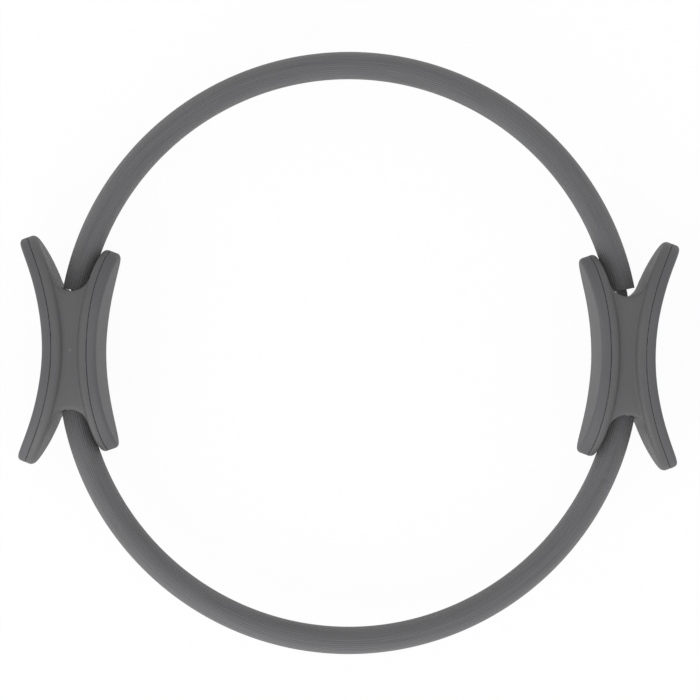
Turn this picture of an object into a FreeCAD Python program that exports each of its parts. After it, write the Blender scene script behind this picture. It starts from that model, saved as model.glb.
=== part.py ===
import FreeCAD, Part

import math
import os

from FreeCAD import Vector

# A pilates ring: two sprung half hoops in soft sleeves, joined at both sides by padded grips.
# Millimetres. The ring lies flat with its axis along Z, and the grips rest on the floor, Z = 0.
# The grips stand at the two ends of the X axis. The right grip is drawn in full, and the left
# grip is the same grip turned half a turn about the ring's axis.

# Hoop
HOOP_HEIGHT = 380.0
HALF_HOOP_SHIFT = 6.4
SLEEVE_DIAMETER = 17.2
SLEEVE_CLEARANCE = 0.2
SLEEVE_END_GAP = 0.3
LOOSE_END_GAP = 4.6

# Spring leaves, a pair in each half hoop
LEAF_THICKNESS = 2.6
LEAF_WIDTH = 12.0
LEAF_SPACING = 0.1
LEAF_END_SPACING = 6.0
CHANNEL_CLEARANCE = 0.2

# Grip: its middle stands outside the hoop's centre line by the offset, and its core is thicker
# than a sleeve by the margin
GRIP_OFFSET = 0.56
GRIP_DEPTH = 56.0
CORE_MARGIN = 4.4
OUTER_SEAT_RADIUS = 140.0
OUTER_SEAT_LENGTH = 142.0
OUTER_STRAIGHT_LENGTH = 24.0
OUTER_WAIST_THICKNESS = 6.6
OUTER_TIP_THICKNESS = 5.3
INNER_SEAT_EASING = 9.0
INNER_SEAT_LENGTH = 126.0
INNER_STRAIGHT_LENGTH = 24.0
INNER_WAIST_THICKNESS = 5.8
INNER_TIP_THICKNESS = 3.9
FLANGE_EDGE_RADIUS = 3.6
SEAM_EDGE_RADIUS = 0.3

# Hub between the flanges
HUB_LENGTH = 73.4
SADDLE_RECESS = 3.2
GATE_DIAMETER = 1.8
GATE_DEPTH = 0.3

# Pads, whose faces are rounder than their seats, so that the tips are the thicker part
PAD_THICKNESS = 5.8
OUTER_FACE_TIGHTENING = 6.0
INNER_FACE_TIGHTENING = 28.0
PAD_EDGE_RADIUS = 2.6
GLUE_THICKNESS = 0.15

# Rivets through the leaf ends
RIVET_PLACE = 16.0
RIVET_DIAMETER = 4.0
RIVET_HEAD_DIAMETER = 8.0
RIVET_HEAD_HEIGHT = 1.5
RIVET_CLEARANCE = 0.2

# Screws through the rear shell
SCREW_PLACE = 33.0
SCREW_DIAMETER = 2.8
SCREW_LENGTH = 22.0
SCREW_HEAD_DIAMETER = 4.6
SCREW_HEAD_HEIGHT = 2.2
SCREW_HEAD_SINK = 8.0
SCREW_CLEARANCE = 0.15
CROSS_LENGTH = 3.0
CROSS_WIDTH = 0.8
CROSS_DEPTH = 1.2

# Cuts run this far past the faces that they open
OVERRUN = 2.0

# Worked out from the sizes above
SLEEVE_RADIUS = SLEEVE_DIAMETER / 2
HOOP_RADIUS = HOOP_HEIGHT / 2 - SLEEVE_RADIUS - HALF_HOOP_SHIFT
STACK_HALF = LEAF_THICKNESS + LEAF_SPACING / 2
HALF_DEPTH = GRIP_DEPTH / 2
HUB_HALF = HUB_LENGTH / 2
HUB_RISE = HUB_HALF - HALF_HOOP_SHIFT
GRIP_REACH = math.sqrt(HOOP_RADIUS**2 - HUB_RISE**2) + GRIP_OFFSET
INNER_SEAT_RADIUS = HOOP_RADIUS + INNER_SEAT_EASING
CORE_THICKNESS = SLEEVE_DIAMETER + CORE_MARGIN
SADDLE_LEVEL = HALF_DEPTH - SADDLE_RECESS
Z_AXIS = Vector(0, 0, 1)
ORIGIN = Vector(0, 0, 0)
HALF_TURN = 180

# An edge is rounded by no more than this share of the thickness beside it
EDGE_ROUND_SHARE = 0.85
# The ends of a flange and its pad lean by this share of the angle at which their seat ends
OUTER_LEAN_SHARE = 0.65
INNER_LEAN_SHARE = 1.0


class Flange:
    """The arcs of one flange in the XY plane: its pad's face, its pad seat and its back."""

    def __init__(
        self, side, seat_radius, seat_length, straight_length, waist, tip, tightening, lean_share
    ):
        self.side = side
        self.seat_radius = seat_radius
        self.half_length = seat_length / 2
        self.half_straight = straight_length / 2
        self.tip_thickness = tip
        self.seat_x = GRIP_REACH + side * CORE_THICKNESS / 2
        self.centre_x = self.seat_x + side * seat_radius
        self.tip_angle = math.asin(self.half_length / seat_radius)
        self.lean_angle = self.tip_angle * lean_share
        self.tip_x = self.centre_x - side * seat_radius * math.cos(self.tip_angle)
        self.face_radius = seat_radius - tightening
        face_x = self.seat_x + side * (GLUE_THICKNESS + PAD_THICKNESS)
        self.face_centre_x = face_x + side * self.face_radius
        tip_radius = seat_radius + tip
        tip_x = self.centre_x - side * tip_radius * math.cos(self.tip_angle)
        tip_y = tip_radius * math.sin(self.tip_angle)
        waist_x = self.seat_x - side * waist
        rise = side * (tip_x - waist_x)
        self.back_radius = (rise * rise + tip_y * tip_y) / (2 * rise)
        self.back_x = waist_x + side * self.back_radius
        self.reach_y = tip_y + tip
        self.reach_x = GRIP_REACH + side * (CORE_THICKNESS + rise)

    def back_point(self, y):
        """The point of the back arc at this height."""
        across = math.sqrt(self.back_radius * self.back_radius - y * y)
        return Vector(self.back_x - self.side * across, y, 0)

    def disc(self, radius, centre_x, half_depth):
        """A cylinder about one of this flange's arcs, with its seam on the far side."""
        disc = Part.makeCylinder(radius, 2 * half_depth, Vector(centre_x, 0, -half_depth))
        if self.side < 0:
            disc.rotate(Vector(centre_x, 0, 0), Z_AXIS, HALF_TURN)
        return disc


OUTER = Flange(
    1,
    OUTER_SEAT_RADIUS,
    OUTER_SEAT_LENGTH,
    OUTER_STRAIGHT_LENGTH,
    OUTER_WAIST_THICKNESS,
    OUTER_TIP_THICKNESS,
    OUTER_FACE_TIGHTENING,
    OUTER_LEAN_SHARE,
)
INNER = Flange(
    -1,
    INNER_SEAT_RADIUS,
    INNER_SEAT_LENGTH,
    INNER_STRAIGHT_LENGTH,
    INNER_WAIST_THICKNESS,
    INNER_TIP_THICKNESS,
    INNER_FACE_TIGHTENING,
    INNER_LEAN_SHARE,
)


def notch_circle():
    """The round of the notch: it touches both flange backs and ends at the hub's end."""
    spread = OUTER.back_x - INNER.back_x
    radius_gap = OUTER.back_radius - INNER.back_radius
    # The circle's centre is at x = start + slope * radius, from the difference of two distances
    start = (OUTER.back_x**2 - INNER.back_x**2 + INNER.back_radius**2 - OUTER.back_radius**2)
    start = start / (2 * spread)
    slope = -radius_gap / spread
    # Its distance to the outer back's centre gives a quadratic for the radius
    offset = start - OUTER.back_x
    a = slope * slope
    b = 2 * (offset * slope + HUB_HALF - OUTER.back_radius)
    c = offset * offset + HUB_HALF**2 - OUTER.back_radius**2
    root = math.sqrt(b * b - 4 * a * c)
    radius = 2 * c / (-b + root)
    return Vector(start + slope * radius, HUB_HALF + radius, 0), radius


NOTCH_CENTRE, NOTCH_RADIUS = notch_circle()


def prism(edges, low, high):
    """A solid from a closed XY outline, from one level to another."""
    face = Part.Face(Part.Wire(edges))
    face.translate(Vector(0, 0, low))
    return face.extrude(Vector(0, 0, high - low))


def block(low, high):
    """A box from its lowest to its highest corner."""
    size = high - low
    return Part.makeBox(size.x, size.y, size.z, low)


def outline_tool(flange, end, inset):
    """A prism that trims one end, 1 or -1, to a flange's half-elliptical outline, or inside it."""
    long_half = flange.half_length - flange.half_straight - inset
    short_half = HALF_DEPTH - inset
    middle = Vector(flange.tip_x, end * flange.half_straight, 0)
    tip = middle + Vector(0, end * long_half, 0)
    front = middle + Vector(0, 0, short_half)
    if long_half > short_half:
        ellipse = Part.Ellipse(tip, front, middle)
        arc = Part.Arc(ellipse, -math.pi / 2, math.pi / 2)
    else:
        ellipse = Part.Ellipse(front, tip, middle)
        arc = Part.Arc(ellipse, 0, math.pi)
    first = arc.StartPoint
    last = arc.EndPoint
    run = Vector(0, -end * 2 * flange.reach_y, 0)
    edges = [
        arc.toShape(),
        Part.makeLine(last, last + run),
        Part.makeLine(last + run, first + run),
        Part.makeLine(first + run, first),
    ]
    across = flange.side * math.cos(flange.lean_angle)
    lean = Vector(across, -end * math.sin(flange.lean_angle), 0)
    tool = Part.Face(Part.Wire(edges))
    tool.translate(lean * -flange.half_length)
    return tool.extrude(lean * (2 * flange.half_length))


def trimmed(shape, flange):
    """Both ends of a flange or pad cut to the outline that they share."""
    for end in (1, -1):
        shape = shape.common(outline_tool(flange, end, 0))
    return shape.Solids[0]


def arc_face_edges(shape, radius):
    """The outer edges of the face that lies on a cylinder of this radius."""
    for face in shape.Faces:
        on_cylinder = isinstance(face.Surface, Part.Cylinder)
        if on_cylinder and math.isclose(face.Surface.Radius, radius):
            return face.OuterWire.Edges
    return []


def half_grip(flange):
    """A block over the half of the grip that a flange and its pad stand in."""
    return block(
        Vector(min(GRIP_REACH, flange.reach_x), -flange.reach_y, -HALF_DEPTH),
        Vector(max(GRIP_REACH, flange.reach_x), flange.reach_y, HALF_DEPTH),
    )


def curved_plate(flange, large, small):
    """What lies inside the first disc and outside the second, cut to the flange's outline."""
    return trimmed(half_grip(flange).common(large).cut(small), flange)


def flange_plate(flange):
    """One flange: a curved plate with a pad seat on its outside and a rounded back."""
    plate = curved_plate(
        flange,
        flange.disc(flange.back_radius, flange.back_x, HALF_DEPTH),
        flange.disc(flange.seat_radius, flange.centre_x, HALF_DEPTH),
    )
    edge_radius = min(FLANGE_EDGE_RADIUS, flange.tip_thickness * EDGE_ROUND_SHARE)
    plate = plate.makeFillet(edge_radius, arc_face_edges(plate, flange.back_radius))
    return plate.makeFillet(SEAM_EDGE_RADIUS, arc_face_edges(plate, flange.seat_radius))


def pad(flange):
    """A soft pad glued to its seat, with a well rounded free edge."""
    seat_radius = flange.seat_radius - GLUE_THICKNESS
    plate = curved_plate(
        flange,
        flange.disc(seat_radius, flange.centre_x, HALF_DEPTH),
        flange.disc(flange.face_radius, flange.face_centre_x, HALF_DEPTH),
    )
    plate = plate.makeFillet(PAD_EDGE_RADIUS, arc_face_edges(plate, flange.face_radius))
    return plate.makeFillet(SEAM_EDGE_RADIUS, arc_face_edges(plate, seat_radius))


def touch_point(flange, end):
    """Where the notch circle at one end touches a flange's back."""
    centre = Vector(flange.back_x, 0, 0)
    towards = Vector(NOTCH_CENTRE.x, end * NOTCH_CENTRE.y, 0) - centre
    return centre + towards * (flange.back_radius / towards.Length)


def notch_edges(end):
    """The space beyond one end of the hub: the notch's round, then the two flange backs."""
    top = end * OUTER.reach_y
    outer_touch = touch_point(OUTER, end)
    inner_touch = touch_point(INNER, end)
    bottom = Vector(NOTCH_CENTRE.x, end * HUB_HALF, 0)
    outer_half = OUTER.back_point((outer_touch.y + top) / 2)
    inner_half = INNER.back_point((inner_touch.y + top) / 2)
    outer_end = OUTER.back_point(top)
    inner_end = INNER.back_point(top)
    return [
        Part.Arc(outer_touch, bottom, inner_touch).toShape(),
        Part.Arc(inner_touch, inner_half, inner_end).toShape(),
        Part.makeLine(inner_end, outer_end),
        Part.Arc(outer_end, outer_half, outer_touch).toShape(),
    ]


def hub():
    """The middle of the core: sunk half into both flanges, notched, and set back from their edges."""
    half = NOTCH_CENTRE.y
    low = Vector(INNER.reach_x, -half, -HALF_DEPTH)
    shape = block(low, Vector(OUTER.reach_x, half, HALF_DEPTH))
    for flange in (OUTER, INNER):
        sunk_radius = flange.seat_radius + flange.tip_thickness / 2
        shape = shape.cut(flange.disc(sunk_radius, flange.centre_x, HALF_DEPTH))
    for end in (1, -1):
        shape = shape.cut(prism(notch_edges(end), -HALF_DEPTH, HALF_DEPTH))
        shape = shape.common(outline_tool(INNER, end, SADDLE_RECESS))
    return shape


def core():
    """The core of the right grip in one piece: two flanges and the hub between them."""
    return hub().fuse([flange_plate(OUTER), flange_plate(INNER)])


def hoop_angle(y):
    """The angle on the upper half hoop, seen from its own centre, at this height."""
    return math.asin((y - HALF_HOOP_SHIFT) / HOOP_RADIUS)


def hoop_x(y):
    """How far the upper half hoop's centre line stands from the ring's axis at this height."""
    return HOOP_RADIUS * math.cos(hoop_angle(y))


def turned(shape):
    """The same shape half a turn round the ring: right to left, upper to lower."""
    copy = shape.copy()
    copy.rotate(ORIGIN, Z_AXIS, HALF_TURN)
    return copy


def section_box(low_radius, high_radius, half_width):
    """A rectangular section of the upper half hoop, square to its run."""
    corners = [
        Vector(low_radius, HALF_HOOP_SHIFT, -half_width),
        Vector(high_radius, HALF_HOOP_SHIFT, -half_width),
        Vector(high_radius, HALF_HOOP_SHIFT, half_width),
        Vector(low_radius, HALF_HOOP_SHIFT, half_width),
    ]
    return Part.Face(Part.makePolygon(corners + corners[:1]))


def hoop_run(section, first, last):
    """A section carried along the upper half hoop from one angle to another."""
    centre = Vector(0, HALF_HOOP_SHIFT, 0)
    solid = section.revolve(centre, Z_AXIS, math.degrees(last - first))
    solid.rotate(centre, Z_AXIS, math.degrees(first))
    return solid


def spoke(radius, low_radius, high_radius, angle):
    """A round bar that points outwards through the upper half hoop."""
    outwards = Vector(math.cos(angle), math.sin(angle), 0)
    start = Vector(0, HALF_HOOP_SHIFT, 0) + outwards * low_radius
    return Part.makeCylinder(radius, high_radius - low_radius, start, outwards)


LEAF_START = hoop_angle(LEAF_END_SPACING / 2)
RIVET_ANGLE = hoop_angle(RIVET_PLACE)
HUB_ANGLE = hoop_angle(HUB_HALF)


def leaf(low_radius):
    """One spring leaf of the upper half hoop, with a rivet hole near each end."""
    high_radius = low_radius + LEAF_THICKNESS
    section = section_box(low_radius, high_radius, LEAF_WIDTH / 2)
    strip = hoop_run(section, LEAF_START, math.pi - LEAF_START)
    hole_radius = RIVET_DIAMETER / 2 + RIVET_CLEARANCE
    for angle in (RIVET_ANGLE, math.pi - RIVET_ANGLE):
        hole = spoke(hole_radius, low_radius - OVERRUN, high_radius + OVERRUN, angle)
        strip = strip.cut(hole)
    return strip


def rivet(angle):
    """A rivet with two flat heads that holds a pair of leaf ends together."""
    grip = STACK_HALF + RIVET_CLEARANCE
    reach = grip + RIVET_HEAD_HEIGHT
    shank = spoke(RIVET_DIAMETER / 2, HOOP_RADIUS - reach, HOOP_RADIUS + reach, angle)
    inner_head = spoke(RIVET_HEAD_DIAMETER / 2, HOOP_RADIUS - reach, HOOP_RADIUS - grip, angle)
    outer_head = spoke(RIVET_HEAD_DIAMETER / 2, HOOP_RADIUS + grip, HOOP_RADIUS + reach, angle)
    return shank.fuse([inner_head, outer_head]).removeSplitter()


def leaf_room(first, last, rivet_angle):
    """The space that a pair of leaf ends and their rivet need inside a grip."""
    half_stack = STACK_HALF + CHANNEL_CLEARANCE
    half_width = LEAF_WIDTH / 2 + CHANNEL_CLEARANCE
    section = section_box(HOOP_RADIUS - half_stack, HOOP_RADIUS + half_stack, half_width)
    room = hoop_run(section, first, last)
    reach = STACK_HALF + RIVET_HEAD_HEIGHT + 2 * RIVET_CLEARANCE
    radius = RIVET_HEAD_DIAMETER / 2 + RIVET_CLEARANCE
    return room.fuse(spoke(radius, HOOP_RADIUS - reach, HOOP_RADIUS + reach, rivet_angle))


def sleeve_section():
    """The round section of a sleeve with its flat bore for the leaves."""
    centre = Vector(HOOP_RADIUS, HALF_HOOP_SHIFT, 0)
    circle = Part.makeCircle(SLEEVE_RADIUS, centre, Vector(0, 1, 0))
    half_stack = STACK_HALF + SLEEVE_CLEARANCE
    half_width = LEAF_WIDTH / 2 + SLEEVE_CLEARANCE
    bore = section_box(HOOP_RADIUS - half_stack, HOOP_RADIUS + half_stack, half_width)
    return Part.Face(Part.Wire([circle])).cut(bore).Faces[0]


def sleeve_stop(end):
    """What cuts a sleeve's end to the round of the notch at the right grip's end, 1 or -1."""
    top = end * min(touch_point(flange, 1).y for flange in (OUTER, INNER))
    stop = block(
        Vector(INNER.reach_x, min(0, top), -HALF_DEPTH),
        Vector(OUTER.reach_x, max(0, top), HALF_DEPTH),
    )
    centre = Vector(NOTCH_CENTRE.x, end * NOTCH_CENTRE.y, -HALF_DEPTH)
    return stop.cut(Part.makeCylinder(NOTCH_RADIUS - SLEEVE_END_GAP, GRIP_DEPTH, centre))


def flange_room(flange):
    """A flange grown by the gap that a sleeve keeps from its back."""
    back = flange.disc(flange.back_radius + SLEEVE_END_GAP, flange.back_x, HALF_DEPTH)
    return half_grip(flange).common(back)


def sleeve(first):
    """A sleeve on the upper half hoop, from this angle at the right to the left grip."""
    run = hoop_run(sleeve_section(), first, math.pi - HUB_ANGLE)
    run = run.cut(sleeve_stop(1)).cut(turned(sleeve_stop(-1)))
    for flange in (OUTER, INNER):
        room = flange_room(flange)
        run = run.cut(room).cut(turned(room))
    return run


def screw_places():
    """Each screw stands midway between the leaf channel and a flange's back."""
    wall = STACK_HALF + CHANNEL_CLEARANCE
    places = []
    for end in (1, -1):
        for flange in (OUTER, INNER):
            channel_x = hoop_x(SCREW_PLACE) + flange.side * wall
            x = (channel_x + flange.back_point(SCREW_PLACE).x) / 2
            places.append(Vector(x, end * SCREW_PLACE, 0))
    return places


SCREW_SEAT = SCREW_HEAD_SINK + SCREW_HEAD_HEIGHT - SADDLE_LEVEL


def upright(radius, low, high, place):
    """A round bar along the ring's axis."""
    return Part.makeCylinder(radius, high - low, place + Vector(0, 0, low))


def screw(place):
    """A flat-headed screw with a cross recess, driven in from the rear."""
    head_level = SCREW_SEAT - SCREW_HEAD_HEIGHT
    shape = upright(SCREW_DIAMETER / 2, SCREW_SEAT, SCREW_SEAT + SCREW_LENGTH, place)
    shape = shape.fuse(upright(SCREW_HEAD_DIAMETER / 2, head_level, SCREW_SEAT, place))
    long_half = CROSS_LENGTH / 2
    short_half = CROSS_WIDTH / 2
    for half_x, half_y in ((long_half, short_half), (short_half, long_half)):
        low = place + Vector(-half_x, -half_y, head_level - OVERRUN)
        high = place + Vector(half_x, half_y, head_level + CROSS_DEPTH)
        shape = shape.cut(block(low, high))
    return shape


def screw_room(place):
    """The hole for a screw, with a counterbore for its head."""
    hole_end = SCREW_SEAT + SCREW_LENGTH + SCREW_CLEARANCE
    hole = upright(SCREW_DIAMETER / 2 + SCREW_CLEARANCE, SCREW_SEAT, hole_end, place)
    bore = upright(SCREW_HEAD_DIAMETER / 2 + SCREW_CLEARANCE, -HALF_DEPTH, SCREW_SEAT, place)
    return hole.fuse(bore)


def gate_mark():
    """The small dimple that moulding leaves in the middle of the front saddle."""
    x = (OUTER.back_point(0).x + INNER.back_point(0).x) / 2
    place = Vector(x, 0, 0)
    return upright(GATE_DIAMETER / 2, SADDLE_LEVEL - GATE_DEPTH, HALF_DEPTH, place)


def shells():
    """The front and rear halves of the right grip's core, hollowed for what they hold."""
    solid = core()
    first = hoop_angle(LEAF_END_SPACING / 2 - CHANNEL_CLEARANCE)
    last = hoop_angle(NOTCH_CENTRE.y)
    solid = solid.cut(leaf_room(first, last, RIVET_ANGLE))
    solid = solid.cut(turned(leaf_room(math.pi - last, math.pi - first, math.pi - RIVET_ANGLE)))
    for place in screw_places():
        solid = solid.cut(screw_room(place))
    solid = solid.cut(gate_mark())
    low = Vector(INNER.reach_x, -OUTER.reach_y, 0)
    high = Vector(OUTER.reach_x, OUTER.reach_y, HALF_DEPTH + OVERRUN)
    lift = Vector(0, 0, HALF_DEPTH + OVERRUN)
    front = solid.common(block(low, high))
    rear = solid.common(block(low - lift, high - lift))
    return front, rear


def grip_nodes():
    """Every piece of both grips, by name."""
    front, rear = shells()
    screws = Part.makeCompound([screw(place) for place in screw_places()])
    right = {
        "front_shell": front,
        "rear_shell": rear,
        "outer_pad": pad(OUTER),
        "inner_pad": pad(INNER),
        "shell_screws": screws,
    }
    nodes = {}
    for name, shape in right.items():
        nodes["right_" + name] = shape
        nodes["left_" + name] = turned(shape)
    nodes["right_upper_rivet"] = rivet(RIVET_ANGLE)
    nodes["left_upper_rivet"] = rivet(math.pi - RIVET_ANGLE)
    nodes["left_lower_rivet"] = turned(rivet(RIVET_ANGLE))
    nodes["right_lower_rivet"] = turned(rivet(math.pi - RIVET_ANGLE))
    return nodes


def hoop_nodes():
    """The spring leaves and the sleeves, by name."""
    outer_leaf = leaf(HOOP_RADIUS + LEAF_SPACING / 2)
    inner_leaf = leaf(HOOP_RADIUS - LEAF_SPACING / 2 - LEAF_THICKNESS)
    loose_start = HUB_ANGLE + LOOSE_END_GAP / HOOP_RADIUS
    return {
        "upper_outer_leaf": outer_leaf,
        "upper_inner_leaf": inner_leaf,
        "lower_outer_leaf": turned(outer_leaf),
        "lower_inner_leaf": turned(inner_leaf),
        "upper_sleeve": sleeve(loose_start),
        "lower_sleeve": turned(sleeve(HUB_ANGLE)),
    }


os.makedirs("parts", exist_ok=True)
for node, shape in {**hoop_nodes(), **grip_nodes()}.items():
    shape.translate(Vector(0, 0, HALF_DEPTH))
    shape.exportStep("parts/" + node + ".step")
    print(node, len(shape.Solids), shape.isValid(), round(shape.Volume))
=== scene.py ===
# %% [markdown]
# # A pilates ring
# The ring is two springy half hoops in soft ribbed sleeves. A padded grip holds them together at
# each side, and the user squeezes the grips towards each other. The solids come from the frame,
# in metres, lying flat with the ring's axis along Z. This lesson dresses them: it swaps most of
# them for softer meshes, gives every piece its finish, and lights the ring as on a white table.

# %% Load the solids
import math

import bmesh
import bpy
import numpy as np
from mathutils import Matrix, Vector, noise
from mathutils.bvhtree import BVHTree


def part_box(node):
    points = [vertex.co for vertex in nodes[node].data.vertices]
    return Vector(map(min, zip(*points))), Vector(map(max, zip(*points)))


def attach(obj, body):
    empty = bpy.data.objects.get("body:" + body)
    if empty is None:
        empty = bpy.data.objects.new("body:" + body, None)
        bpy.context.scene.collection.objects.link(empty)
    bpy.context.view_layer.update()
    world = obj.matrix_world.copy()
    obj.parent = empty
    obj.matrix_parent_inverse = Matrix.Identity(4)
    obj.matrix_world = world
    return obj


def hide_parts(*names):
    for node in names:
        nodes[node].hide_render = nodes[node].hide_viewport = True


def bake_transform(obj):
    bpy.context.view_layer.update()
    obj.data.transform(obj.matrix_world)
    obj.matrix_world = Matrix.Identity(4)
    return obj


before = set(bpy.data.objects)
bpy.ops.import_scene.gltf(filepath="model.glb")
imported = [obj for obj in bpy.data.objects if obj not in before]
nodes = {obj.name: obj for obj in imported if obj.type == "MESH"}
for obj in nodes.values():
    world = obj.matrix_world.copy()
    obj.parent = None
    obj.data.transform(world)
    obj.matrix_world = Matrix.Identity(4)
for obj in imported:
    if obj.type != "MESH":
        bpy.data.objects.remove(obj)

MM = 0.001
scene = bpy.context.scene
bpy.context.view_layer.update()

# %% [markdown]
# ## The sizes that the dressing follows
# Typing sizes twice invites mistakes, so this cell reads them off the solids. The two leaves of a
# half hoop meet on its centre line, and the sleeve's box gives the tube's thickness. Each sleeve
# ends in a round notch of the grip. Three rays that hit the notch's wall give its circle. They
# start inside the tube, a little above the slit that lets the leaves into the grip.

# %% Measure the hoop and the notch
leaf_low, leaf_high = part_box("upper_inner_leaf")
outer_leaf_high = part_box("upper_outer_leaf")[1]
tube_low, tube_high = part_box("upper_sleeve")
shell_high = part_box("right_front_shell")[1]
HOOP_RADIUS = leaf_high.x
HOOP_SHIFT = leaf_high.y - leaf_high.x
TUBE_RADIUS = (tube_high.z - tube_low.z) / 2
MID_HEIGHT = (tube_high.z + tube_low.z) / 2
LEAF_STEP = outer_leaf_high.x - leaf_high.x
LEAF_HALF_WIDTH = (leaf_high.z - leaf_low.z) / 2

RAY_ANGLE = math.radians(15)
RAY_SPREAD = math.radians(40)
RAY_RISE_SHARE = 0.8


def circle_through(a, b, c):
    """The centre and radius of the circle through three points in the XY plane."""
    rows = np.array([(b - a).xy, (c - a).xy])
    start = a.xy.length_squared
    sums = np.array([b.xy.length_squared - start, c.xy.length_squared - start])
    centre = Vector(np.linalg.solve(2 * rows, sums))
    return centre, (a.xy - centre).length


shell_tree = BVHTree.FromObject(nodes["right_front_shell"], bpy.context.evaluated_depsgraph_get())
ray_start = Vector((
    HOOP_RADIUS * math.cos(RAY_ANGLE),
    HOOP_RADIUS * math.sin(RAY_ANGLE) + HOOP_SHIFT,
    MID_HEIGHT + TUBE_RADIUS * RAY_RISE_SHARE,
))
wall_points = []
for swing in (-RAY_SPREAD, 0, RAY_SPREAD):
    direction = Vector((math.sin(swing), -math.cos(swing), 0))
    wall_points.append(shell_tree.ray_cast(ray_start, direction)[0])
NOTCH_CENTRE, NOTCH_RADIUS = circle_through(*wall_points)
NOTCH_BOTTOM = NOTCH_CENTRE.y - NOTCH_RADIUS
print("hoop radius", HOOP_RADIUS / MM, "shift", HOOP_SHIFT / MM, "tube", TUBE_RADIUS / MM)
print("notch centre", NOTCH_CENTRE / MM, "radius", NOTCH_RADIUS / MM, "bottom", NOTCH_BOTTOM / MM)

# %% [markdown]
# The saddle is the shallow hollow between the two flanges of a grip. A ray straight down finds
# its level, and two rays to the sides find its walls. The mould's gate was midway between them.

# %% Measure the saddle
SADDLE_FEELER = 0.3 * MM

above_saddle = Vector((NOTCH_CENTRE.x, NOTCH_BOTTOM / 2, 2 * shell_high.z))
SADDLE_HEIGHT = shell_tree.ray_cast(above_saddle, Vector((0, 0, -1)))[0].z
in_saddle = Vector((NOTCH_CENTRE.x, 0, SADDLE_HEIGHT + SADDLE_FEELER))
saddle_walls = [shell_tree.ray_cast(in_saddle, Vector((way, 0, 0)))[0].x for way in (-1, 1)]
SADDLE_X = sum(saddle_walls) / 2
SADDLE_HALF = (saddle_walls[1] - saddle_walls[0]) / 2
print("saddle level", SADDLE_HEIGHT / MM, "middle", SADDLE_X / MM, "half width", SADDLE_HALF / MM)

# %% [markdown]
# ## Helpers for colours and nodes
# Colours are written as a paint shop would, in sRGB hex, but shaders count in linear light, so
# one function turns one into the other. Another adds a node, sets it and links it, and it works
# for materials and for geometry alike, so every tree below is a list of such calls. The last one
# starts a material with the values that are the same all over it.

# %% Colour and node helpers
PURE_WHITE = "#FFFFFF"


def linear(hex_colour):
    """An sRGB hex colour as linear red, green, blue and alpha."""
    channels = [int(hex_colour[i : i + 2], 16) / 255 for i in (1, 3, 5)]
    bent = [c / 12.92 if c <= 0.04045 else ((c + 0.055) / 1.055) ** 2.4 for c in channels]
    return bent + [1.0]


def feed(tree, node, inputs):
    """Links or sets a node's inputs by name or number. A node stands for its first output in use."""
    for key, value in inputs.items():
        named = [s for s in node.inputs if s.name == key and s.enabled]
        socket = named[0] if named else node.inputs[key]
        if isinstance(value, bpy.types.Node):
            value = next(s for s in value.outputs if s.enabled)
        if isinstance(value, bpy.types.NodeSocket):
            tree.links.new(value, socket)
        else:
            socket.default_value = value


def add(tree, kind, inputs=None, **settings):
    """A new node with its settings, and with its inputs linked or set."""
    node = tree.nodes.new(kind)
    for name, value in settings.items():
        setattr(node, name, value)
    feed(tree, node, inputs or {})
    return node


def new_material(name, **sockets):
    """A material with one Principled shader, whose plain values are set on its own sockets."""
    made = bpy.data.materials.new(name)
    made.use_nodes = True
    shader = made.node_tree.nodes["Principled BSDF"]
    for socket, value in sockets.items():
        shader.inputs[socket.replace("_", " ")].default_value = value
    return made, made.node_tree, shader


print("white is", linear(PURE_WHITE))

# %% [markdown]
# ## Foam rubber for the sleeves
# The sleeves are extruded foam rubber: the die leaves fine ribs along the tube, and the skin is
# matte with a faint bloom in streaks along the run. The streaks must follow the bend, so the
# pattern reads attributes that the sleeve carries: the length along, the way around, and how high
# a point stands on its rib. The valleys between the ribs get painted shade, a darker grey, more so
# in some streaks than in others. Cut cells stand up like fuzz on the skin, so the tube is lighter
# along its edges, which is sheen. Real cells are too fine to show, so the grain is drawn coarser.

# %% Sleeve material
SLEEVE_GREY = "#4E4E50"
SLEEVE_BLOOM = "#666668"
# Painted shade: the darker grey that the valleys between the ribs are painted with.
SLEEVE_VALLEY_SHADE = "#464648"
SLEEVE_ROUGHNESS = 0.62
SLEEVE_SHEEN = 0.4
STREAK_LENGTH = 60 * MM
STREAK_WIDTH = 2.2 * MM
STREAK_START = 0.3
STREAK_FULL = 0.7
FOAM_GRAIN = 0.7 * MM
FOAM_RELIEF = 0.06 * MM
FOAM_BUMP = 0.6


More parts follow.
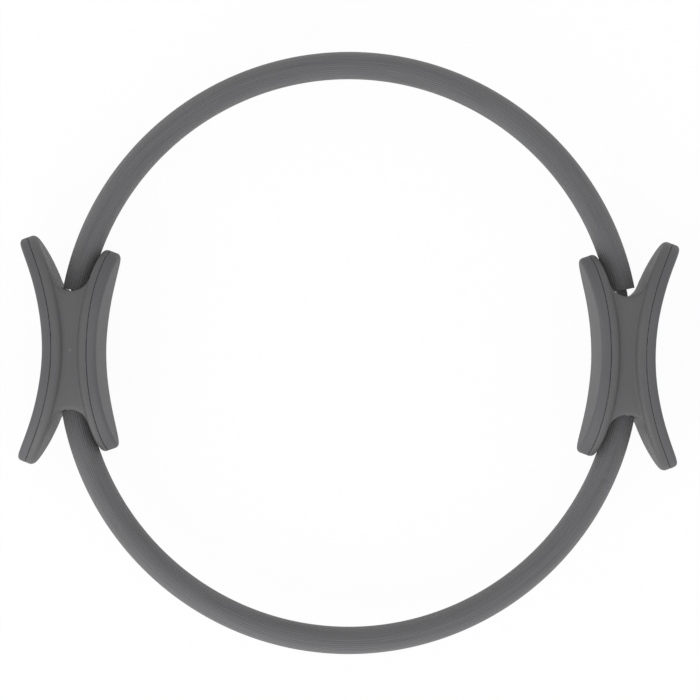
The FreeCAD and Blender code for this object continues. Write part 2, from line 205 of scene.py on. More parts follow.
def foam_rubber():
    """Extruded foam rubber: matte, streaked along the tube, with painted shade between the ribs."""
    made, tree, shader = new_material(
        "extruded_foam_rubber", Roughness=SLEEVE_ROUGHNESS, Sheen_Weight=SLEEVE_SHEEN,
    )
    along = add(tree, "ShaderNodeAttribute", attribute_name="along").outputs["Fac"]
    around = add(tree, "ShaderNodeAttribute", attribute_name="around").outputs["Fac"]
    rib = add(tree, "ShaderNodeAttribute", attribute_name="rib").outputs["Fac"]
    place = add(tree, "ShaderNodeCombineXYZ", {"X": along, "Y": around})
    stretch = (1 / STREAK_LENGTH, 1 / STREAK_WIDTH, 1)
    drawn = add(tree, "ShaderNodeVectorMath", {0: place, 1: stretch}, operation="MULTIPLY")
    drift = add(tree, "ShaderNodeTexNoise", {"Vector": drawn, "Scale": 1, "Detail": 3})
    streak = add(tree, "ShaderNodeMapRange", {
        "Value": drift, "From Min": STREAK_START, "From Max": STREAK_FULL,
    })
    fine = add(tree, "ShaderNodeVectorMath", {0: place, "Scale": 1 / FOAM_GRAIN}, operation="SCALE")
    grain = add(tree, "ShaderNodeTexNoise", {"Vector": fine, "Scale": 1, "Detail": 2})
    bloom = add(tree, "ShaderNodeMix", {
        "Factor": streak, "A": linear(SLEEVE_GREY), "B": linear(SLEEVE_BLOOM),
    }, data_type="RGBA")
    # Painted shade: the valleys between the ribs are mixed towards the darker grey, more in streaks.
    valley = add(tree, "ShaderNodeMath", {0: 1.0, 1: rib}, operation="SUBTRACT")
    dark = add(tree, "ShaderNodeMath", {0: valley, 1: streak}, operation="MULTIPLY")
    colour = add(tree, "ShaderNodeMix", {
        "Factor": dark, "A": bloom, "B": linear(SLEEVE_VALLEY_SHADE),
    }, data_type="RGBA")
    bump = add(tree, "ShaderNodeBump", {
        "Height": grain, "Distance": FOAM_RELIEF, "Strength": FOAM_BUMP,
    })
    feed(tree, shader, {"Base Color": colour, "Normal": bump})
    return made


FOAM_RUBBER = foam_rubber()
print("made", FOAM_RUBBER.name)

# %% [markdown]
# ## Moulded foam for the pads
# The pads are closed-cell foam, pressed in a warm mould. The skin is matte and slightly pebbled,
# and handling leaves faint lighter clouds. The pads are rigid in this model, so plain Object
# coordinates hold the pattern still. Real cells are too fine to show, so they are drawn coarser.

# %% Pad material
PAD_GREY = "#515153"
PAD_WORN = "#58585A"
PAD_ROUGHNESS = 0.66
PAD_CELL = 0.9 * MM
PAD_CLOUD = 24 * MM
PAD_RELIEF = 0.08 * MM
PAD_BUMP = 0.5


def moulded_foam():
    """Closed-cell foam with a moulded skin: matte, pebbled and faintly clouded."""
    made, tree, shader = new_material("moulded_foam", Roughness=PAD_ROUGHNESS)
    place = add(tree, "ShaderNodeTexCoord").outputs["Object"]
    cloud = add(tree, "ShaderNodeTexNoise", {"Vector": place, "Scale": 1 / PAD_CLOUD, "Detail": 4})
    cells = add(tree, "ShaderNodeTexVoronoi", {
        "Vector": place, "Scale": 1 / PAD_CELL,
    }, feature="SMOOTH_F1")
    colour = add(tree, "ShaderNodeMix", {
        "Factor": cloud, "A": linear(PAD_GREY), "B": linear(PAD_WORN),
    }, data_type="RGBA")
    bump = add(tree, "ShaderNodeBump", {
        "Height": cells, "Distance": PAD_RELIEF, "Strength": PAD_BUMP,
    })
    feed(tree, shader, {"Base Color": colour, "Normal": bump})
    return made


MOULDED_FOAM = moulded_foam()
print("made", MOULDED_FOAM.name)

# %% [markdown]
# ## Polypropylene for the shells
# The grips' cores are moulded polypropylene from a spark-textured mould. The texture is a fine
# even grit that scatters the light, and the melt's flow leaves long soft changes of gloss. Real
# grit is too fine to show, so it is drawn coarser. Where the left grip's gate was broken off, the
# plastic turned a little pale, as this plastic does under stress.

# %% Shell material
SHELL_GREY = "#505052"
SHELL_PALE = "#565657"
GATE_PALE = "#5F5F61"
GATE_RADIUS = 0.5 * MM
GATE_FADE = 1.0 * MM
SPARK_GRIT = 0.5 * MM
SPARK_RELIEF = 0.05 * MM
SPARK_BUMP = 0.6
FLOW_WIDTH = 9 * MM
FLOW_LENGTH = 45 * MM
FLOW_SMOOTH = 0.5
FLOW_ROUGH = 0.66


def textured_polypropylene():
    """Moulded polypropylene with a spark texture, soft flow marks and a pale gate mark."""
    made, tree, shader = new_material("spark_textured_polypropylene")
    place = add(tree, "ShaderNodeTexCoord").outputs["Object"]
    flow_stretch = (1 / FLOW_WIDTH, 1 / FLOW_LENGTH, 1 / FLOW_WIDTH)
    drawn = add(tree, "ShaderNodeVectorMath", {0: place, 1: flow_stretch}, operation="MULTIPLY")
    flow = add(tree, "ShaderNodeTexNoise", {"Vector": drawn, "Scale": 1, "Detail": 3})
    grit = add(tree, "ShaderNodeTexNoise", {"Vector": place, "Scale": 1 / SPARK_GRIT, "Detail": 2})
    plain = add(tree, "ShaderNodeMix", {
        "Factor": flow, "A": linear(SHELL_GREY), "B": linear(SHELL_PALE),
    }, data_type="RGBA")
    gate_place = (-SADDLE_X, 0, SADDLE_HEIGHT)
    from_gate = add(tree, "ShaderNodeVectorMath", {
        0: place, 1: gate_place,
    }, operation="DISTANCE").outputs["Value"]
    stressed = add(tree, "ShaderNodeMapRange", {
        "Value": from_gate, "From Min": GATE_RADIUS + GATE_FADE, "From Max": GATE_RADIUS,
    })
    colour = add(tree, "ShaderNodeMix", {
        "Factor": stressed, "A": plain, "B": linear(GATE_PALE),
    }, data_type="RGBA")
    gloss = add(tree, "ShaderNodeMapRange", {
        "Value": flow, "To Min": FLOW_SMOOTH, "To Max": FLOW_ROUGH,
    })
    bump = add(tree, "ShaderNodeBump", {
        "Height": grit, "Distance": SPARK_RELIEF, "Strength": SPARK_BUMP,
    })
    feed(tree, shader, {"Base Color": colour, "Roughness": gloss, "Normal": bump})
    return made


POLYPROPYLENE = textured_polypropylene()
print("made", POLYPROPYLENE.name)

# %% [markdown]
# ## Glass fibre for the spring leaves
# The leaves are pultruded: glass threads are pulled through dark resin, so the surface shows fine
# lines along the leaf under a thin glossy skin. The lines follow the bend by reading an attribute
# that holds each point's place along, across and through the leaf. Single threads are too fine
# to show, so each line is drawn as wide as a bundle of them.

# %% Leaf material
RESIN_GREY = "#2B2B2D"
FIBRE_GREY = "#424245"
FIBRE_LENGTH = 40 * MM
FIBRE_WIDTH = 0.6 * MM
RESIN_ROUGHNESS = 0.42
RESIN_IOR = 1.55


def pultruded_glass_fibre():
    """Glass threads in dark resin, drawn out along the leaf."""
    made, tree, shader = new_material(
        "pultruded_glass_fibre", Roughness=RESIN_ROUGHNESS, IOR=RESIN_IOR,
    )
    place = add(tree, "ShaderNodeAttribute", attribute_name="leaf_place").outputs["Vector"]
    stretch = (1 / FIBRE_LENGTH, 1 / FIBRE_WIDTH, 1 / FIBRE_WIDTH)
    drawn = add(tree, "ShaderNodeVectorMath", {0: place, 1: stretch}, operation="MULTIPLY")
    fibre = add(tree, "ShaderNodeTexNoise", {"Vector": drawn, "Scale": 1, "Detail": 4})
    colour = add(tree, "ShaderNodeMix", {
        "Factor": fibre, "A": linear(RESIN_GREY), "B": linear(FIBRE_GREY),
    }, data_type="RGBA")
    feed(tree, shader, {"Base Color": colour})
    return made


GLASS_FIBRE = pultruded_glass_fibre()
print("made", GLASS_FIBRE.name)

# %% [markdown]
# ## Zinc-plated steel for the screws and rivets
# Bright zinc is a thin crystalline coat: a light bluish grey metal whose gloss changes from grain
# to grain. A metal keeps the default IOR, because its colour sets how it mirrors. Real grains are
# too fine to show, so they are drawn coarser.

# %% Steel material
ZINC_BRIGHT = "#B4B8BC"
ZINC_DULL = "#9DA0A4"
ZINC_GRAIN = 1.2 * MM
ZINC_SMOOTH = 0.25
ZINC_ROUGH = 0.42


def zinc_plated_steel():
    """Bright zinc on steel, slightly uneven in gloss."""
    made, tree, shader = new_material("zinc_plated_steel", Metallic=1.0)
    place = add(tree, "ShaderNodeTexCoord").outputs["Object"]
    grains = add(tree, "ShaderNodeTexNoise", {
        "Vector": place, "Scale": 1 / ZINC_GRAIN, "Detail": 3,
    })
    colour = add(tree, "ShaderNodeMix", {
        "Factor": grains, "A": linear(ZINC_DULL), "B": linear(ZINC_BRIGHT),
    }, data_type="RGBA")
    gloss = add(tree, "ShaderNodeMapRange", {
        "Value": grains, "To Min": ZINC_SMOOTH, "To Max": ZINC_ROUGH,
    })
    feed(tree, shader, {"Base Color": colour, "Roughness": gloss})
    return made


ZINC_STEEL = zinc_plated_steel()
print("made", ZINC_STEEL.name)

# %% [markdown]
# ## The ribbed sleeves
# A sleeve follows its half hoop, and its ribs repeat round the tube, so Geometry Nodes suit it: a
# circle with a wavy edge is carried along an arc, and a flat bore for the leaves is carried along
# the same arc. The tree also stores where each point lies along, around and on its rib, for the
# material.

# %% Sleeve tree
SLEEVE_SIZES = (
    "Hoop Radius", "Start Angle", "Sweep Angle", "Tube Radius", "Rib Depth",
    "Bore Depth", "Bore Width",
)
SLEEVE_COUNTS = ("Ribs", "Points Around", "Rows Along")


def sleeve_tree():
    """A tube with lengthwise ribs and a flat bore, carried along an arc."""
    tree = bpy.data.node_groups.new("ribbed_sleeve", "GeometryNodeTree")
    for size in SLEEVE_SIZES:
        tree.interface.new_socket(size, in_out="INPUT", socket_type="NodeSocketFloat")
    for count in SLEEVE_COUNTS:
        tree.interface.new_socket(count, in_out="INPUT", socket_type="NodeSocketInt")
    tree.interface.new_socket("Place", in_out="INPUT", socket_type="NodeSocketVector")
    tree.interface.new_socket("Material", in_out="INPUT", socket_type="NodeSocketMaterial")
    tree.interface.new_socket("Sleeve", in_out="OUTPUT", socket_type="NodeSocketGeometry")
    given = add(tree, "NodeGroupInput").outputs
    place = add(tree, "GeometryNodeSplineParameter").outputs
    arc = add(tree, "GeometryNodeCurveArc", {
        "Resolution": given["Rows Along"], "Radius": given["Hoop Radius"],
        "Start Angle": given["Start Angle"], "Sweep Angle": given["Sweep Angle"],
    }, mode="RADIUS")
    upright = add(tree, "GeometryNodeSetCurveNormal", {"Curve": arc}, mode="Z_UP")
    path = add(tree, "GeometryNodeStoreNamedAttribute", {
        "Geometry": upright, "Name": "along", "Value": place["Length"],
    }, data_type="FLOAT", domain="POINT")
    circle = add(tree, "GeometryNodeCurvePrimitiveCircle", {
        "Resolution": given["Points Around"], "Radius": given["Tube Radius"],
    }, mode="RADIUS")
    around = add(tree, "GeometryNodeStoreNamedAttribute", {
        "Geometry": circle, "Name": "around", "Value": place["Length"],
    }, data_type="FLOAT", domain="POINT")
    turns = add(tree, "ShaderNodeMath", {0: place["Factor"], 1: given["Ribs"]}, operation="MULTIPLY")
    phase = add(tree, "ShaderNodeMath", {0: turns, 1: 2 * math.pi}, operation="MULTIPLY")
    wave = add(tree, "ShaderNodeMath", {0: phase}, operation="COSINE")
    crest = add(tree, "ShaderNodeMath", {0: wave, 1: 0.5, 2: 0.5}, operation="MULTIPLY_ADD")
    ribs = add(tree, "GeometryNodeStoreNamedAttribute", {
        "Geometry": around, "Name": "rib", "Value": crest,
    }, data_type="FLOAT", domain="POINT")
    sunk = add(tree, "ShaderNodeMath", {0: crest, 1: 1.0}, operation="SUBTRACT")
    depth_share = add(tree, "ShaderNodeMath", {
        0: given["Rib Depth"], 1: given["Tube Radius"],
    }, operation="DIVIDE")
    inward = add(tree, "ShaderNodeMath", {0: sunk, 1: depth_share}, operation="MULTIPLY")
    spot = add(tree, "GeometryNodeInputPosition")
    dip = add(tree, "ShaderNodeVectorMath", {0: spot, "Scale": inward}, operation="SCALE")
    profile = add(tree, "GeometryNodeSetPosition", {"Geometry": ribs, "Offset": dip})
    tube = add(tree, "GeometryNodeCurveToMesh", {"Curve": path, "Profile Curve": profile})
    slot = add(tree, "GeometryNodeCurvePrimitiveQuadrilateral", {
        "Width": given["Bore Depth"], "Height": given["Bore Width"],
    }, mode="RECTANGLE")
    bore = add(tree, "GeometryNodeCurveToMesh", {"Curve": path, "Profile Curve": slot})
    both = add(tree, "GeometryNodeJoinGeometry", {"Geometry": tube})
    feed(tree, both, {"Geometry": bore})
    placed = add(tree, "GeometryNodeTransform", {"Geometry": both, "Translation": given["Place"]})
    real = add(tree, "GeometryNodeRealizeInstances", {"Geometry": placed})
    painted = add(tree, "GeometryNodeSetMaterial", {"Geometry": real, "Material": given["Material"]})
    add(tree, "NodeGroupOutput", {"Sleeve": painted})
    return tree


SLEEVE_TREE = sleeve_tree()
print("sleeve tree:", len(SLEEVE_TREE.nodes), "nodes")


# %% [markdown]
# ## From modifiers to plain meshes
# A modifier keeps making its shape anew, but a piece that is tied to a body has to be one plain
# mesh. So its result is taken over and the modifier removed. Python is slow at moving single
# points, so three more functions read all of a mesh's points as rows of numbers, read which way
# they face, and write them back.

# %% Plain meshes and their points
def plain_mesh(piece):
    """Gives a piece the mesh that its modifiers make, and removes them."""
    evaluated = piece.evaluated_get(bpy.context.evaluated_depsgraph_get())
    mesh = bpy.data.meshes.new_from_object(evaluated)
    piece.modifiers.clear()
    piece.data = mesh
    return mesh


def baked(name, tree, values):
    """An object with the plain mesh that a tree makes from these values."""
    piece = bpy.data.objects.new(name, bpy.data.meshes.new(name))
    scene.collection.objects.link(piece)
    modifier = piece.modifiers.new("shape", "NODES")
    modifier.node_group = tree
    for socket in tree.interface.items_tree:
        if socket.in_out == "INPUT":
            modifier[socket.identifier] = values[socket.name]
    plain_mesh(piece)
    return piece


def points_of(mesh):
    """A mesh's points as rows of three numbers."""
    points = np.empty(len(mesh.vertices) * 3, np.float32)
    mesh.vertices.foreach_get("co", points)
    return points.reshape(-1, 3).astype(float)


def normals_of(mesh):
    """The directions that a mesh's points face, as rows of three numbers."""
    normals = np.empty(len(mesh.vertices) * 3, np.float32)
    mesh.vertex_normals.foreach_get("vector", normals)
    return normals.reshape(-1, 3)


def set_points(mesh, points):
    """Moves a mesh's points."""
    mesh.vertices.foreach_set("co", points.astype(np.float32).ravel())
    mesh.update()


print("points of the upper sleeve's solid:", len(points_of(nodes["upper_sleeve"].data)))

# %% [markdown]
# ## Closing the sleeves and fitting their ends
# The tree leaves the tube and its bore open at the ends. Here the two open rims at each end are
# bridged, and every point slides along its own circle so that the end fits its notch. A sleeve is
# cut square with a knife, so its outer half ends flat, a little short of the notch's round, and
# its inner half bears on the notch's wall. One end was pushed on less far and stops shorter still.

# %% Make both sleeves
RIBS = 40
POINTS_PER_RIB = 5
ROWS_ALONG = 420
RIB_DEPTH = 0.22 * MM
BORE_CLEARANCE = 0.2 * MM
SLEEVE_END_GAP = 0.25 * MM
TIGHT_END_GAP = 0.25 * MM
SHORT_END_GAP = 0.8 * MM
LOOSE_END_GAP = 4.6 * MM
SLEEVE_SHARP_ANGLE = math.radians(40)
HUB_ANGLE = math.asin((NOTCH_BOTTOM - HOOP_SHIFT) / HOOP_RADIUS)
NOTCH_ARM = NOTCH_CENTRE - Vector((0, HOOP_SHIFT))
NOTCH_ANGLE = math.atan2(NOTCH_ARM.y, NOTCH_ARM.x)


def wall_angles(radii):
    """The angles at which circles about the half hoop's centre meet the notch's wall."""
    reach = NOTCH_ARM.length
    room = NOTCH_RADIUS - SLEEVE_END_GAP
    cosines = (radii**2 + reach**2 - room**2) / (2 * radii * reach)
    return NOTCH_ANGLE - np.arccos(np.clip(cosines, -1, 1))


def close_ends(mesh):
    """Bridges the tube's rim to the bore's rim at both ends."""
    work = bmesh.new()
    work.from_mesh(mesh)
    for side in (1, -1):
        rims = [e for e in work.edges if e.is_boundary and e.verts[0].co.x * side > 0]
        bmesh.ops.bridge_loops(work, edges=rims)
    bmesh.ops.recalc_face_normals(work, faces=work.faces)
    work.to_mesh(mesh)
    work.free()


def fit_ends(mesh, right_gap, left_gap):
    """Slides the points along their circles, so that both ends fit their notches."""
    points = points_of(mesh)
    radii = np.hypot(points[:, 0], points[:, 1] - HOOP_SHIFT)
    angles = np.arctan2(points[:, 1] - HOOP_SHIFT, points[:, 0])
    share = (angles - HUB_ANGLE) / (math.pi - 2 * HUB_ANGLE)
    walls = wall_angles(radii)
    starts = np.maximum(walls, HUB_ANGLE + right_gap / HOOP_RADIUS)
    ends = math.pi - np.maximum(walls, HUB_ANGLE + left_gap / HOOP_RADIUS)
    fitted = starts + (ends - starts) * share
    points[:, 0] = radii * np.cos(fitted)
    points[:, 1] = radii * np.sin(fitted) + HOOP_SHIFT
    set_points(mesh, points)


def make_sleeve(name, right_gap, left_gap):
    """A ribbed sleeve on the upper half hoop."""
    piece = baked(name, SLEEVE_TREE, {
        "Hoop Radius": HOOP_RADIUS,
        "Start Angle": HUB_ANGLE,
        "Sweep Angle": math.pi - 2 * HUB_ANGLE,
        "Tube Radius": TUBE_RADIUS,
        "Rib Depth": RIB_DEPTH,
        "Bore Depth": 2 * (LEAF_STEP + BORE_CLEARANCE),
        "Bore Width": 2 * (LEAF_HALF_WIDTH + BORE_CLEARANCE),
        "Ribs": RIBS,
        "Points Around": RIBS * POINTS_PER_RIB,
        "Rows Along": ROWS_ALONG,
        "Place": (0, HOOP_SHIFT, MID_HEIGHT),
        "Material": FOAM_RUBBER,
    })
    close_ends(piece.data)
    fit_ends(piece.data, right_gap, left_gap)
    return piece


upper_sleeve = make_sleeve("ribbed_upper_sleeve", LOOSE_END_GAP, SHORT_END_GAP)
lower_sleeve = make_sleeve("ribbed_lower_sleeve", TIGHT_END_GAP, TIGHT_END_GAP)
lower_sleeve.data.transform(Matrix.Rotation(math.pi, 4, "Z"))
for piece in (upper_sleeve, lower_sleeve):
    piece.data.shade_smooth()
    piece.data.set_sharp_from_angle(angle=SLEEVE_SHARP_ANGLE)
    sides = [round(side / MM, 1) for side in piece.dimensions]
    print(piece.name, len(piece.data.polygons), "faces", sides)

# %% [markdown]
# The foam of the lower sleeve carries a small dent across the tube, where something hard pressed
# on it. Points near the dent sink, most in its middle.

# %% Dent the lower sleeve
DENT_PLACE = Vector((161.0, -77.4)) * MM
DENT_LENGTH = 2.6 * MM
DENT_WIDTH = 1.3 * MM
DENT_DEPTH = 0.6 * MM

sleeve_points = points_of(lower_sleeve.data)
beside = (sleeve_points[:, 0] - DENT_PLACE.x) / DENT_LENGTH
across = (sleeve_points[:, 1] - DENT_PLACE.y) / DENT_WIDTH
on_front = sleeve_points[:, 2] > MID_HEIGHT + LEAF_HALF_WIDTH
pressed = np.exp(-(beside**2) - across**2) * on_front
sleeve_points[:, 2] -= DENT_DEPTH * pressed
set_points(lower_sleeve.data, sleeve_points)
print("dent up to", round(DENT_DEPTH * pressed.max() / MM, 2), "mm deep")

# %% [markdown]
# ## The spring leaves
# The leaves bend when the ring is squeezed, so they can't stay rigid solids. Their shape is
# already right, with the rivet holes, so each is a copy of its solid with the doubled points
# merged. The copy carries the attribute that the glass fibre reads.

# %% Make the leaves
MERGE_DISTANCE = 0.001 * MM
LEAF_SHARP_ANGLE = math.radians(30)


def merged_copy(name, node):
    """A new object with a solid's mesh, its doubled points merged."""
    work = bmesh.new()
    work.from_mesh(nodes[node].data)
    bmesh.ops.remove_doubles(work, verts=work.verts, dist=MERGE_DISTANCE)
    work.verts.index_update()
    corners = [v.co.copy() for v in work.verts]
    faces = [[v.index for v in f.verts] for f in work.faces]
    work.free()
    mesh = bpy.data.meshes.new(name)
    mesh.from_pydata(corners, [], faces)
    piece = bpy.data.objects.new(name, mesh)
    scene.collection.objects.link(piece)
    return piece


def make_leaf(half, layer):
    """One bending leaf, with each point's place along, across and through it."""
    piece = merged_copy(f"bending_{half}_{layer}_leaf", f"{half}_{layer}_leaf")
    points = points_of(piece.data)
    shift = HOOP_SHIFT if half == "upper" else -HOOP_SHIFT
    radii = np.hypot(points[:, 0], points[:, 1] - shift)
    turn = np.arctan2(points[:, 0], np.abs(points[:, 1] - shift))
    places = np.stack([turn * HOOP_RADIUS, points[:, 2], radii], axis=1)
    attribute = piece.data.attributes.new("leaf_place", "FLOAT_VECTOR", "POINT")
    attribute.data.foreach_set("vector", places.astype(np.float32).ravel())
    piece.data.materials.append(GLASS_FIBRE)
    piece.data.shade_smooth()
    piece.data.set_sharp_from_angle(angle=LEAF_SHARP_ANGLE)
    return piece


leaves = {}
for half in ("upper", "lower"):
    for layer in ("outer", "inner"):
        leaves[f"{half}_{layer}_leaf"] = make_leaf(half, layer)
print("leaves:", sorted(leaves))

# %% [markdown]
# ## Even faces for moulded pieces
# The solids of the pads and shells have exact outlines but long thin triangles and sharp lines,
# which can't be softened. So a copy is remeshed into small even faces, and a Shrinkwrap lays
# these back on the solid, because the remesh alone rounds off the tips. Softening then moves each
# point towards the middle of its neighbours, as far as its own share says.

# %% Even copies and softening
SOFTENING_SHARE = 0.5


def even_copy(name, node, face_size):
    """A copy of a solid in small even faces that lie on it."""
    piece = merged_copy(name, node)
    remesh = piece.modifiers.new("even faces", "REMESH")
    remesh.mode = "VOXEL"
    remesh.voxel_size = face_size
    wrap = piece.modifiers.new("lay on the solid", "SHRINKWRAP")
    wrap.target = nodes[node]
    plain_mesh(piece)
    return piece


def softened(mesh, points, shares, passes):
    """Points moved towards the middle of their neighbours, each by its own share, several times."""
    pairs = np.empty(len(mesh.edges) * 2, np.int32)
    mesh.edges.foreach_get("vertices", pairs)
    first, second = pairs.reshape(-1, 2).T
    count = len(points)
    links = np.bincount(first, minlength=count) + np.bincount(second, minlength=count)
    for turn in range(passes):
        middles = np.empty_like(points)
        for axis in range(3):
            along = points[:, axis]
            total = np.bincount(first, along[second], count)
            total = total + np.bincount(second, along[first], count)
            middles[:, axis] = total / links
        points = points + (middles - points) * shares[:, None]
    return points


def eased(values, low, high):
    """0 at or before low, 1 at or after high, and a smooth step between."""
    share = np.clip((values - low) / (high - low), 0, 1)
    return share * share * (3 - 2 * share)


print("an eased step:", eased(np.linspace(0, 1, 5), 0, 1).round(2))

# %% [markdown]
# ## The pads
# A pad is foam pressed in a mould: its free edges are soft, its face swells a little between them,
# and it is never quite even. Use leaves small dents along its free edges. Only the edge against
# its seat stays crisp, which keeps the joint a thin line. Cloth simulation would only blow up such
# a firm glued pad, so its points are moved by a rule instead: a crown, a slow random wave and the
# dents.

# %% Make the pads
PAD_FACE_SIZE = 0.55 * MM
PAD_PASSES = 6
SEAM_MARGIN = 0.8 * MM
SEAM_FADE = 1.6 * MM
PAD_CROWN = 0.5 * MM
PAD_WAVE = 0.12 * MM
PAD_WAVE_LENGTH = 22 * MM
EDGE_DENT = 0.3 * MM
EDGE_DENT_LENGTH = 7 * MM
EDGE_DENT_START = 0.35


def make_pad(side, layer):
    """A soft pad in the place of its solid."""
    node = f"{side}_{layer}_pad"
    piece = even_copy(f"soft_{node}", node, PAD_FACE_SIZE)
    mesh = piece.data
    points = points_of(mesh)
    from_seat = np.full(len(points), np.inf)
    depsgraph = bpy.context.evaluated_depsgraph_get()
    for half in ("front", "rear"):
        seat = BVHTree.FromObject(nodes[f"{side}_{half}_shell"], depsgraph)
        from_seat = np.minimum(from_seat, [seat.find_nearest(p)[3] for p in points])
    clear = eased(from_seat, SEAM_MARGIN, SEAM_MARGIN + SEAM_FADE)
    set_points(mesh, softened(mesh, points, SOFTENING_SHARE * clear, PAD_PASSES))
    points = points_of(mesh)
    normals = normals_of(mesh)
    low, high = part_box(node)
    places = (points - np.array((low + high) / 2)) / np.array((high - low) / 2)
    facing = (1 if side == "right" else -1) * (1 if layer == "outer" else -1)
    faced = np.clip(normals[:, 0] * facing, 0, 1)
    swell = np.clip((1 - places[:, 1] ** 2) * (1 - places[:, 2] ** 2), 0, 1)
    waves = np.array([noise.noise(Vector(p) / PAD_WAVE_LENGTH) for p in points])
    knocks = np.array([noise.noise(Vector(p) / EDGE_DENT_LENGTH) for p in points])
    on_edge = 4 * faced * (1 - faced)
    moves = faced * (PAD_CROWN * swell + PAD_WAVE * waves)
    moves -= EDGE_DENT * on_edge * np.clip(knocks - EDGE_DENT_START, 0, 1)
    set_points(mesh, points + normals * moves[:, None])
    mesh.materials.clear()
    mesh.materials.append(MOULDED_FOAM)
    mesh.shade_smooth()
    return piece


pads = {}
for side in ("left", "right"):
    for layer in ("outer", "inner"):
        pads[f"{side}_{layer}_pad"] = make_pad(side, layer)
for node, piece in pads.items():
    print(node, len(piece.data.polygons), "faces")

# %% [markdown]
# ## The shells
# A moulded shell has no knife edges: the rims of the notches and the hollow of the saddle run
# into each other in soft curves. The rest of the shell, such as the pad seats, the leaf channel
# and the line where two shells meet, stays crisp. So only the points over the saddle, well in
# front of or behind the leaf channel, are softened, and those on the notch's rim some more.

# %% Make the shells
SHELL_FACE_SIZE = 0.6 * MM
SADDLE_PASSES = 8
RIM_PASSES = 24
SOFT_MARGIN = 2.5 * MM
SOFT_FADE = 3.0 * MM
SHELL_SHARP_ANGLE = math.radians(50)


def make_shell(side, half):
    """A moulded shell in the place of its solid, soft over the saddle."""
    node = f"{side}_{half}_shell"
    piece = even_copy(f"moulded_{node}", node, SHELL_FACE_SIZE)
    mesh = piece.data
    points = points_of(mesh)
    from_middle = np.abs(np.abs(points[:, 0]) - SADDLE_X)
    soft_edge = SADDLE_HALF + SOFT_MARGIN
    inside = 1 - eased(from_middle, soft_edge, soft_edge + SOFT_FADE)
    from_channel = np.abs(points[:, 2] - MID_HEIGHT) - LEAF_HALF_WIDTH
    clear = eased(from_channel, SOFT_MARGIN, SOFT_MARGIN + SOFT_FADE)
    shares = SOFTENING_SHARE * inside * clear
    points = softened(mesh, points, shares, SADDLE_PASSES)
    beside = np.abs(points[:, 0]) - NOTCH_CENTRE.x
    above = np.abs(points[:, 1]) - NOTCH_CENTRE.y
    from_rim = np.abs(np.hypot(beside, above) - NOTCH_RADIUS)
    at_rim = 1 - eased(from_rim, SOFT_MARGIN, SOFT_MARGIN + SOFT_FADE)
    set_points(mesh, softened(mesh, points, shares * at_rim, RIM_PASSES))
    mesh.materials.clear()
    mesh.materials.append(POLYPROPYLENE)
    mesh.shade_smooth()
    mesh.set_sharp_from_angle(angle=SHELL_SHARP_ANGLE)
    return piece


shells = {}
for side in ("left", "right"):
    for half in ("front", "rear"):
        shells[f"{side}_{half}_shell"] = make_shell(side, half)
for node, piece in shells.items():
    print(node, len(piece.data.polygons), "faces")

# %% [markdown]
# ## The screws and rivets keep their solids
# They are hard and their solids are exact, so they stay, and only get their finish.

# %% Paint the screws and rivets
for name, node in nodes.items():
    if name.endswith(("screws", "rivet")):
        node.data.materials.clear()
        node.data.materials.append(ZINC_STEEL)
        print("painted", name)

# %% [markdown]
# ## Riding and bending
# Each new piece stands for its solid. The pads and shells ride on their grips. The leaves and
# sleeves are held by both grips and bend between them, but here they only get their placing
# baked into their points and are tied to no grip.

# %% Tie the riding pieces to their bodies
bending = {"upper_sleeve": upper_sleeve, "lower_sleeve": lower_sleeve, **leaves}
riding = {**pads, **shells}
for node, piece in bending.items():
    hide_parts(node)
    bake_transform(piece)
for node, piece in riding.items():
    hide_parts(node)
    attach(piece, node.split("_")[0] + "_grip")
print("tied:", len(bending), "bending pieces, and", len(riding), "that ride on a grip")

# %% [markdown]
# ## Floor and light
# The ring lies on a pale floor under soft light from all round, a little stronger from the sides
# than from above, with one large soft lamp. The white that the camera sees comes from the floor's
# and the world's colour for camera rays, so that the ring itself is lit at a plain level.

# %% Floor
FLOOR_SIZE = 8.0
FLOOR_WHITE = "#F4F4F4"
FLOOR_GLOW_SHARE = 0.95


def background_rays(tree):
    """1 for the rays that should see the white background: camera, mirror and see-through rays."""
    path = add(tree, "ShaderNodeLightPath").outputs
    seen = add(tree, "ShaderNodeMath", {
        0: path["Is Camera Ray"], 1: path["Is Glossy Ray"],
    }, operation="MAXIMUM")
    return add(tree, "ShaderNodeMath", {0: seen, 1: path["Is Transmission Ray"]}, operation="MAXIMUM")


def pale_floor():
    """A matte pale floor that still shows a faint shadow."""
    made, tree, shader = new_material("pale_floor")
    tree.nodes.remove(shader)
    share = add(tree, "ShaderNodeMath", {
        0: background_rays(tree), 1: FLOOR_GLOW_SHARE,
    }, operation="MULTIPLY")
    matte = add(tree, "ShaderNodeBsdfDiffuse", {"Color": linear(FLOOR_WHITE)})
    glow = add(tree, "ShaderNodeEmission", {"Color": linear(PURE_WHITE), "Strength": 1.0})
    mixed = add(tree, "ShaderNodeMixShader", {0: share, 1: matte, 2: glow})
    feed(tree, tree.nodes["Material Output"], {"Surface": mixed})
    return made


half_floor = FLOOR_SIZE / 2
corner_shares = ((-1, -1), (1, -1), (1, 1), (-1, 1))
floor_corners = [(x * half_floor, y * half_floor, 0) for x, y in corner_shares]
floor_mesh = bpy.data.meshes.new("floor")
floor_mesh.from_pydata(floor_corners, [], [(0, 1, 2, 3)])
floor_mesh.materials.append(pale_floor())
floor = bpy.data.objects.new("floor", floor_mesh)
scene.collection.objects.link(floor)
print("floor of", FLOOR_SIZE, "m")

# %% World and lamp
HORIZON_STRENGTH = 1.16
ZENITH_STRENGTH = 0.76
LAMP_PLACE = Vector((-0.8, -1.4, 1.0))
LAMP_SIZE = 1.2
LAMP_POWER = 14.0


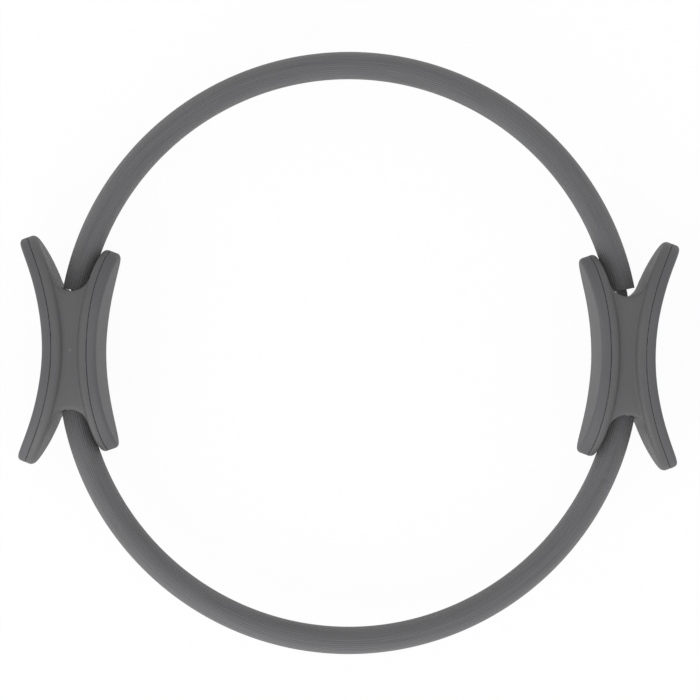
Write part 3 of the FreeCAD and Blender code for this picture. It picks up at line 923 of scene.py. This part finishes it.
def soft_world():
    """Soft light from all round, stronger from low down, behind a white that the camera sees."""
    world = bpy.data.worlds.new("studio")
    world.use_nodes = True
    tree = world.node_tree
    tree.nodes.clear()
    place = add(tree, "ShaderNodeTexCoord").outputs["Generated"]
    height = add(tree, "ShaderNodeSeparateXYZ", {0: place}).outputs["Z"]
    strength = add(tree, "ShaderNodeMapRange", {
        "Value": height, "To Min": HORIZON_STRENGTH, "To Max": ZENITH_STRENGTH,
    })
    light = add(tree, "ShaderNodeBackground", {"Color": linear(PURE_WHITE), "Strength": strength})
    white = add(tree, "ShaderNodeBackground", {"Color": linear(PURE_WHITE), "Strength": 1.0})
    mixed = add(tree, "ShaderNodeMixShader", {0: background_rays(tree), 1: light, 2: white})
    add(tree, "ShaderNodeOutputWorld", {"Surface": mixed})
    return world


scene.world = soft_world()
lamp_data = bpy.data.lights.new("soft_lamp", "AREA")
lamp_data.size = LAMP_SIZE
lamp_data.energy = LAMP_POWER
lamp = bpy.data.objects.new("soft_lamp", lamp_data)
lamp.location = LAMP_PLACE
lamp.rotation_euler = (-LAMP_PLACE).to_track_quat("-Z", "Y").to_euler()
scene.collection.objects.link(lamp)
scene.view_settings.view_transform = "Standard"
print("lamp at", [round(v, 2) for v in LAMP_PLACE], "with", LAMP_POWER, "W")

# %% [markdown]
# ## The camera
# The ring was photographed from straight above its front, a little off centre and turned by half
# a degree. One pixel covers the same length everywhere on the ring's middle plane, which gives
# the lens once the distance is known.

# %% Camera
PIXEL_LENGTH = 0.631 * MM
PICTURE_PIXELS = 700
RING_CENTRE_PIXEL = (348.8, 353.0)
CAMERA_HEIGHT = 1.243
CAMERA_ROLL = math.radians(0.58)
camera_data = bpy.data.cameras.new("camera")
camera_data.lens = camera_data.sensor_width * CAMERA_HEIGHT / (PIXEL_LENGTH * PICTURE_PIXELS)
camera = bpy.data.objects.new("camera", camera_data)
offset_x = (PICTURE_PIXELS / 2 - RING_CENTRE_PIXEL[0]) * PIXEL_LENGTH
offset_y = (RING_CENTRE_PIXEL[1] - PICTURE_PIXELS / 2) * PIXEL_LENGTH
camera.location = (offset_x, offset_y, MID_HEIGHT + CAMERA_HEIGHT)
camera.rotation_euler = (0, 0, CAMERA_ROLL)
scene.collection.objects.link(camera)
scene.camera = camera
print("lens", round(camera_data.lens, 1), "mm")

# %% Finish
bpy.context.view_layer.update()
